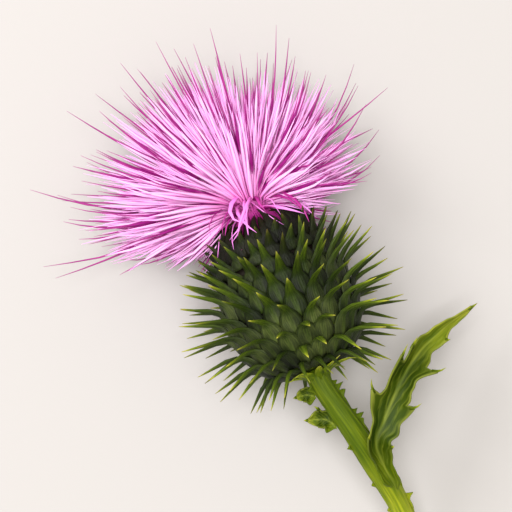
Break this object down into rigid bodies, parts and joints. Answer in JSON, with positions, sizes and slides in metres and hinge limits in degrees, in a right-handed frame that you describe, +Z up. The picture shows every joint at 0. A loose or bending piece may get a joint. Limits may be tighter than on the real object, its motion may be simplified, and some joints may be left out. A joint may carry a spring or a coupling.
{
  "type": "cut thistle",
  "caption": "Cut thistle lying on its side: a round spiny green flower head with a spreading pink tuft of florets, on a short winged stem with a folded spiny leaf.",
  "frame": {"origin": "on the surface that the thistle lies on, under the middle of its overall box", "axes": "+Z up from the surface it lies on, +Y from the cut end of the stem towards the flower, +X to the side that the stem leaf is on"},
  "size_m": [0.0714, 0.0984, 0.0385],
  "materials": {
    "stem": "satin",
    "leaf": "satin",
    "bract": "satin",
    "receptacle": "matte",
    "floret": "matte"
  },
  "bodies": {
    "root": {"stem": "stem", "receptacle": "receptacle", "bract_tier_01": "bract", "bract_tier_02": "bract", "bract_tier_03": "bract", "bract_tier_04": "bract", "bract_tier_05": "bract", "bract_tier_06": "bract", "bract_tier_07": "bract", "bract_tier_08": "bract", "bract_tier_09": "bract", "bract_tier_10": "bract", "floret_ring_1": "floret", "floret_ring_2": "floret", "floret_ring_3": "floret", "floret_ring_4": "floret", "floret_ring_5": "floret", "floret_ring_6": "floret", "floret_ring_7": "floret", "floret_ring_8": "floret", "stem_leaf": "leaf", "upper_small_leaf": "leaf", "lower_small_leaf": "leaf"}
  },
  "joints": []
}
